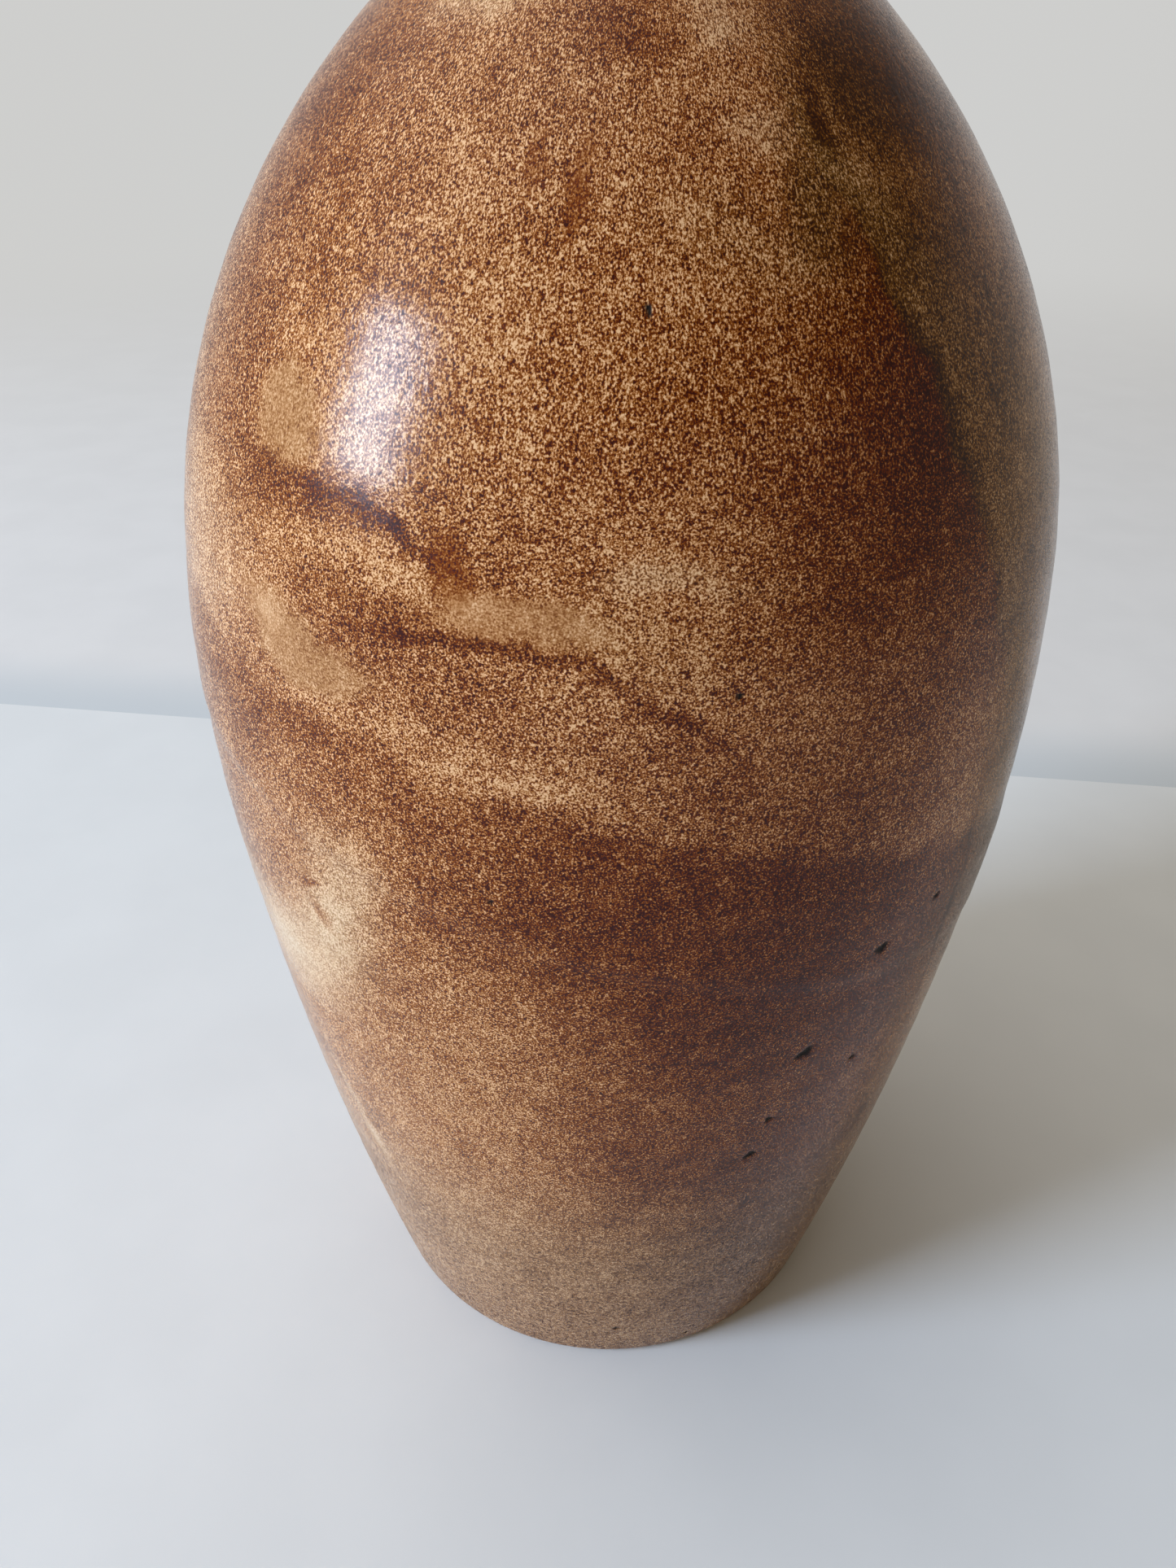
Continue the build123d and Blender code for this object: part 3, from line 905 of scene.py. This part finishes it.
def pressPinholes(mesh, offset, belongs):
    # Small real pits: the mesh is divided more finely round each one and pressed in.
    # marks each pit, which the glaze pattern paints near black as painted shadow
    marks = mesh.verts.layers.float.new("pinholeAndShadow")
    for degreesRound, height, length, width, turn in pinholes:
        azimuth, turn = radians(degreesRound), radians(turn)
        reach = radiusAt(height, offset)
        centre = Vector((reach * sin(azimuth), -reach * cos(azimuth), height))
        if not belongs(centre):
            continue
        wide = max(length, width) + coatLook["pinholeAround"]
        outwards = Vector((sin(azimuth), -cos(azimuth), 0))
        around = Vector((cos(azimuth), sin(azimuth), 0))
        near = {v for v in mesh.verts if (v.co - centre).length < wide}
        near = {v for v in near if v.normal.dot(outwards) > 0.3}
        edges = {e for v in near for e in v.link_edges if e.other_vert(v) in near}
        bmesh.ops.subdivide_edges(mesh, edges=list(edges), cuts=3, use_grid_fill=True)
        mesh.normal_update()
        for v in mesh.verts:
            away = v.co - centre
            if away.length > wide + 1 or v.normal.dot(outwards) < 0.3:
                continue
            side, rise = away.dot(around), away.z
            long = side * cos(turn) + rise * sin(turn)
            short = rise * cos(turn) - side * sin(turn)
            ragged = 1 + 0.22 * sin(3 * atan2(short, long) + height)
            spread = hypot(long / length, short / width) / ragged
            v[marks] = max(v[marks], smoothStep(1.25, 0.65, spread))
            depth = coatLook["pinholeDepth"] * exp(-spread**2 * 1.2)
            v.co -= outwards * (depth - coatLook["pinholeRim"] * exp(-((spread - 1.7) ** 2) * 5))


def dipLevel(point):
    return point.z + tan(radians(glazeLook["dipTilt"])) * point.x


def uncovered(point):
    # Above the second coat's edge
    return dipLevel(point) > glazeLook["secondEdge"]


def covered(point):
    return not uncovered(point)


def anywhere(point):
    return True


def cutToDip(mesh, height, above):
    # Keeps what lies above or below a leaning edge, and closes the cut between the two faces.
    tilt = radians(glazeLook["dipTilt"])
    cut = bmesh.ops.bisect_plane(
        mesh, geom=everything(mesh), dist=0.0005, plane_co=(0, 0, height),
        plane_no=(sin(tilt), 0, cos(tilt)), clear_inner=above, clear_outer=not above,
    )
    rims = [g for g in cut["geom_cut"] if isinstance(g, bmesh.types.BMEdge)]
    bmesh.ops.bridge_loops(mesh, edges=rims)
    bmesh.ops.recalc_face_normals(mesh, faces=mesh.faces)
    mesh.normal_update()


def makeUpperCoat():
    o, thickness = outline, coatLook["upperThickness"]
    mesh = bmesh.new()
    start = glazeLook["firstEdge"] - tan(radians(glazeLook["dipTilt"])) * o["beyond"]
    lipEnd = pi - o["flareAngle"]
    reach, height = flankPoint(0, start)
    tip = mesh.verts.new((reach, 0, height))
    tip = lineTo(mesh, tip, flankPoint(thickness, start))
    tip = trace(mesh, tip, wallPath(thickness, start), o["fineStep"])
    tip = trace(mesh, tip, [(centres["lip"], pi)], 0.7)
    tip = lineTo(mesh, tip, polar(centres["flare"], o["flareArc"] + o["wall"], lipEnd))
    tip = trace(mesh, tip, [(centres["lip"], -pi)], 1.6)
    tip = trace(mesh, tip, backwards(wallPath(0, start)), o["coarseStep"])
    throwPot(mesh, o["turns"])
    cutToDip(mesh, glazeLook["firstEdge"], True)
    poolGlaze(mesh, thickness, uncovered)
    pressPinholes(mesh, thickness, uncovered)
    piece = finishPiece(mesh, "upperGlazeCoat", glazeMaterial("upperGlaze"))
    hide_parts("upper_glaze_coat")
    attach(piece, "root")


def makeLowerCoat():
    o, look = outline, coatLook
    thickness, climb, foot = look["lowerThickness"], look["upperThickness"], look["footLine"]
    firstEdge, secondEdge = glazeLook["firstEdge"], glazeLook["secondEdge"]
    mesh = bmesh.new()
    top = secondEdge + tan(radians(glazeLook["dipTilt"])) * o["beyond"]
    topAngle = asin((top - centres["shoulder"][1]) / centres["shoulderArc"])
    reach, height = flankPoint(0, foot)
    tip = mesh.verts.new((reach, 0, height))
    # Rounded edge at the foot, then up the outside and back down against the clay
    tip = lineTo(mesh, tip, (reach + thickness * 0.62, height + 0.06))
    tip = lineTo(mesh, tip, flankPoint(thickness * 0.9, foot + 0.26))
    tip = lineTo(mesh, tip, flankPoint(thickness, foot + 0.6))
    outside = (centres["flank"], -o["bellyBelow"] - flankAngle(thickness, foot + 0.6))
    inside = (centres["flank"], -o["bellyBelow"] - flankAngle(0, foot))
    rest = [
        (centres["belly"], o["bellyBelow"] + o["bellyAbove"]),
        (centres["shoulder"], topAngle - o["bellyAbove"]),
    ]
    tip = trace(mesh, tip, [outside, *rest], o["fineStep"])
    tip = lineTo(mesh, tip, polar(centres["shoulder"], centres["shoulderArc"], topAngle))
    tip = trace(mesh, tip, backwards([inside, *rest]), o["coarseStep"])
    throwPot(mesh, o["turns"])
    cutToDip(mesh, secondEdge, False)
    # Over the first coat the second rides up, then thins to nothing at its own edge.
    for v in mesh.verts:
        level = dipLevel(v.co)
        lifted = climb * smoothStep(firstEdge - look["fillWidth"], firstEdge, level)
        if lifted == 0:
            continue
        outwards = Vector((v.co.x, v.co.y, 0)).normalized()
        if hypot(v.co.x, v.co.y) > radiusAt(v.co.z, thickness / 2):
            thin = thickness * smoothStep(secondEdge - look["featherWidth"], secondEdge, level)
            v.co += outwards * (lifted - thin * look["tucked"])
        elif level > firstEdge:
            v.co += outwards * (climb - look["seatGap"])
    poolGlaze(mesh, thickness, anywhere)
    pressPinholes(mesh, thickness, covered)
    piece = finishPiece(mesh, "lowerGlazeCoat", glazeMaterial("lowerGlaze"))
    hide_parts("lower_glaze_coat")
    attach(piece, "root")


makeUpperCoat()
makeLowerCoat()


stageLook = {
    "tableTop": "e5e8e8",
    "backdrop": "e6e6e5",
    # painted shade at the foot of the wall
    "wallFoot": "cfd5d8",
    "farPlain": (0.62, 0.62, 0.61, 1),    # what everything far from the lamps is seen as,
    "farShaded": (0.43, 0.395, 0.345, 1),  # and on the shaded, warmer side of the room
    "farFrom": (420, 1500),               # millimetres out, over which it takes over
    "wallLine": (-0.0234, 0.2093, 5.6),   # a point on the line behind the pot, and its turn
    "reach": 12.0,
    "roomRadius": 11.5,
    "roomHeight": 7.5,
    "roomDim": (0.16, 0.12, 0.07, 1),     # the warm, shaded side of the room
    "roomBright": (0.66, 0.64, 0.61, 1),
    "roomTowards": (-0.80, 0.45, 0.40),   # from which the room is bright
    "roomEased": (-0.35, 0.85),
    "shadedAway": (0.9, -0.436, 0.0),     # towards the shaded side
    "shadedEased": (-0.2, 0.9),
    "wallFootHeight": 55,                 # millimetres over which the wall is darker
    "lampsAim": (0, 0, 0.2),
    # lamps: direction from there, distance, size, share of the plain level, and colour
    "window": ((-0.84, -0.375, 0.355), 2.6, (0.80, 1.06), 0.96, (0.80, 0.95, 1.20)),
    "ceilingGlow": ((-0.5, 0.1, 1.0), 2.4, (2.4, 2.4), 0.18, (1.0, 0.98, 0.95)),
    # camera: place, and degrees that it looks down, turns and rolls
    "cameraAt": (0, -0.2025, 0.24814),
    "cameraTurned": (33.01, 1.41, 0.44),
    "lens": 27.03,
}


def wallShade(tree, place):
    # The wall is painted a little darker and bluer just above the table: painted shade where it
    # meets the table.
    x0, y0, turn = stageLook["wallLine"]
    across = (sin(radians(turn)), cos(radians(turn)), 0)
    start = (x0 * across[0] + y0 * across[1]) / millimetre
    behind = calc(tree, "SUBTRACT", project(tree, place, across), start)
    return ease(tree, behind, stageLook["wallFootHeight"], 0)


def farSurroundings(tree, place):
    # The plain level at which the far surroundings are seen, directly or mirrored.
    side = project(tree, vectorCalc(tree, "NORMALIZE", place), stageLook["shadedAway"])
    shaded = ease(tree, side, *stageLook["shadedEased"])
    level = blendColour(tree, shaded, stageLook["farPlain"], stageLook["farShaded"])
    return addNode(tree, "Emission", {"Color": level, "Strength": 1.0}).outputs[0]


def seenRays(tree):
    rays = addNode(tree, "LightPath", {}).outputs
    seen = calc(tree, "MAXIMUM", rays["Is Camera Ray"], rays["Is Glossy Ray"])
    return calc(tree, "MAXIMUM", seen, rays["Is Transmission Ray"])


def boardMaterial(name):
    material, tree, shader = newMaterial(name)
    place = inMillimetres(tree)
    cloud = grain(tree, place, 40.0, 3.0, 0.5)
    tint = ease(tree, cloud, 0.3, 0.7, 0.97, 1.0)
    shade = scaled(tree, paint(stageLook[name])[:3], tint)
    # painted shade at the foot of the wall
    if name == "backdrop":
        shade = blendColour(tree, wallShade(tree, place), shade, paint(stageLook["wallFoot"]))
    tree.links.new(shade, shader.inputs["Base Color"])
    shader.inputs["Roughness"].default_value = 1.0
    shader.inputs["Specular IOR Level"].default_value = 0.0
    far = ease(tree, vectorLength(tree, place), *stageLook["farFrom"])
    takenOver = times(tree, seenRays(tree), far)
    mixed = {0: takenOver, 1: shader.outputs[0], 2: farSurroundings(tree, place)}
    return material, tree, addNode(tree, "MixShader", mixed).outputs[0]


def roomMaterial():
    # Seen as a plain wall that fades out towards the ceiling, and clear to all other light.
    material, tree, _ = newMaterial("roomWall")
    place = inMillimetres(tree)
    up = axesOf(tree, place)[2]
    top = stageLook["roomHeight"] / millimetre
    lower = times(tree, seenRays(tree), ease(tree, up, top, top * 0.5))
    clear = addNode(tree, "BsdfTransparent", {}).outputs[0]
    mixed = addNode(tree, "MixShader", {0: lower, 1: clear, 2: farSurroundings(tree, place)})
    return material, tree, mixed.outputs[0]


def makeStage():
    look = stageLook
    x0, y0, turn = look["wallLine"]
    line = Matrix.Translation((x0, y0, 0)) @ Matrix.Rotation(radians(-turn), 4, "Z")
    for name, side in (("tableTop", -1), ("backdrop", 1)):
        mesh = bmesh.new()
        bmesh.ops.create_grid(mesh, x_segments=1, y_segments=1, size=look["reach"])
        bmesh.ops.translate(mesh, vec=(0, side * look["reach"], 0), verts=mesh.verts)
        bmesh.ops.transform(mesh, matrix=line, verts=mesh.verts)
        stagePiece(mesh, name, boardMaterial(name))
    mesh = bmesh.new()
    bmesh.ops.create_circle(mesh, segments=96, radius=look["roomRadius"])
    raised = vertsIn(bmesh.ops.extrude_edge_only(mesh, edges=mesh.edges)["geom"])
    bmesh.ops.translate(mesh, vec=(0, 0, look["roomHeight"]), verts=raised)
    stagePiece(mesh, "roomWall", roomMaterial())


def stagePiece(mesh, name, finish):
    material, tree, surface = finish
    tree.links.new(surface, tree.nodes["Material Output"].inputs["Surface"])
    board = toObject(mesh, name, material)


def addLamp(name):
    direction, distance, size, level, colour = stageLook[name]
    lamp = bpy.data.lights.new(name, "AREA")
    lamp.shape = "RECTANGLE"
    lamp.size, lamp.size_y = size
    lamp.energy = level * (pi * distance) ** 2
    lamp.color = colour
    holder = putIn(name, lamp)
    away = Vector(direction).normalized()
    holder.location = Vector(stageLook["lampsAim"]) + away * distance
    holder.rotation_euler = away.to_track_quat("Z", "Y").to_euler()


makeStage()
addLamp("window")
addLamp("ceilingGlow")

world = bpy.data.worlds.new("room")
bpy.context.scene.world = world
world.use_nodes = True
air = world.node_tree
looking = addNode(air, "TexCoord", {}).outputs["Generated"]
bright = ease(air, project(air, looking, stageLook["roomTowards"]), *stageLook["roomEased"])
room = blendColour(air, bright, stageLook["roomDim"], stageLook["roomBright"])
air.links.new(room, air.nodes["Background"].inputs["Color"])

camera = bpy.data.cameras.new("viewCamera")
camera.sensor_width = 36
camera.lens = stageLook["lens"]
camera.clip_start, camera.clip_end = 0.01, 50
cameraHolder = putIn("viewCamera", camera)
down, turn, roll = (radians(angle) for angle in stageLook["cameraTurned"])
turned = Matrix.Rotation(turn, 4, "Z") @ Matrix.Rotation(pi / 2 - down, 4, "X")
turned = turned @ Matrix.Rotation(roll, 4, "Z")
cameraHolder.matrix_world = Matrix.Translation(stageLook["cameraAt"]) @ turned
bpy.context.scene.camera = cameraHolder
bpy.context.scene.view_settings.view_transform = "Standard"
print("stage, lights and camera ready")

bpy.context.view_layer.update()
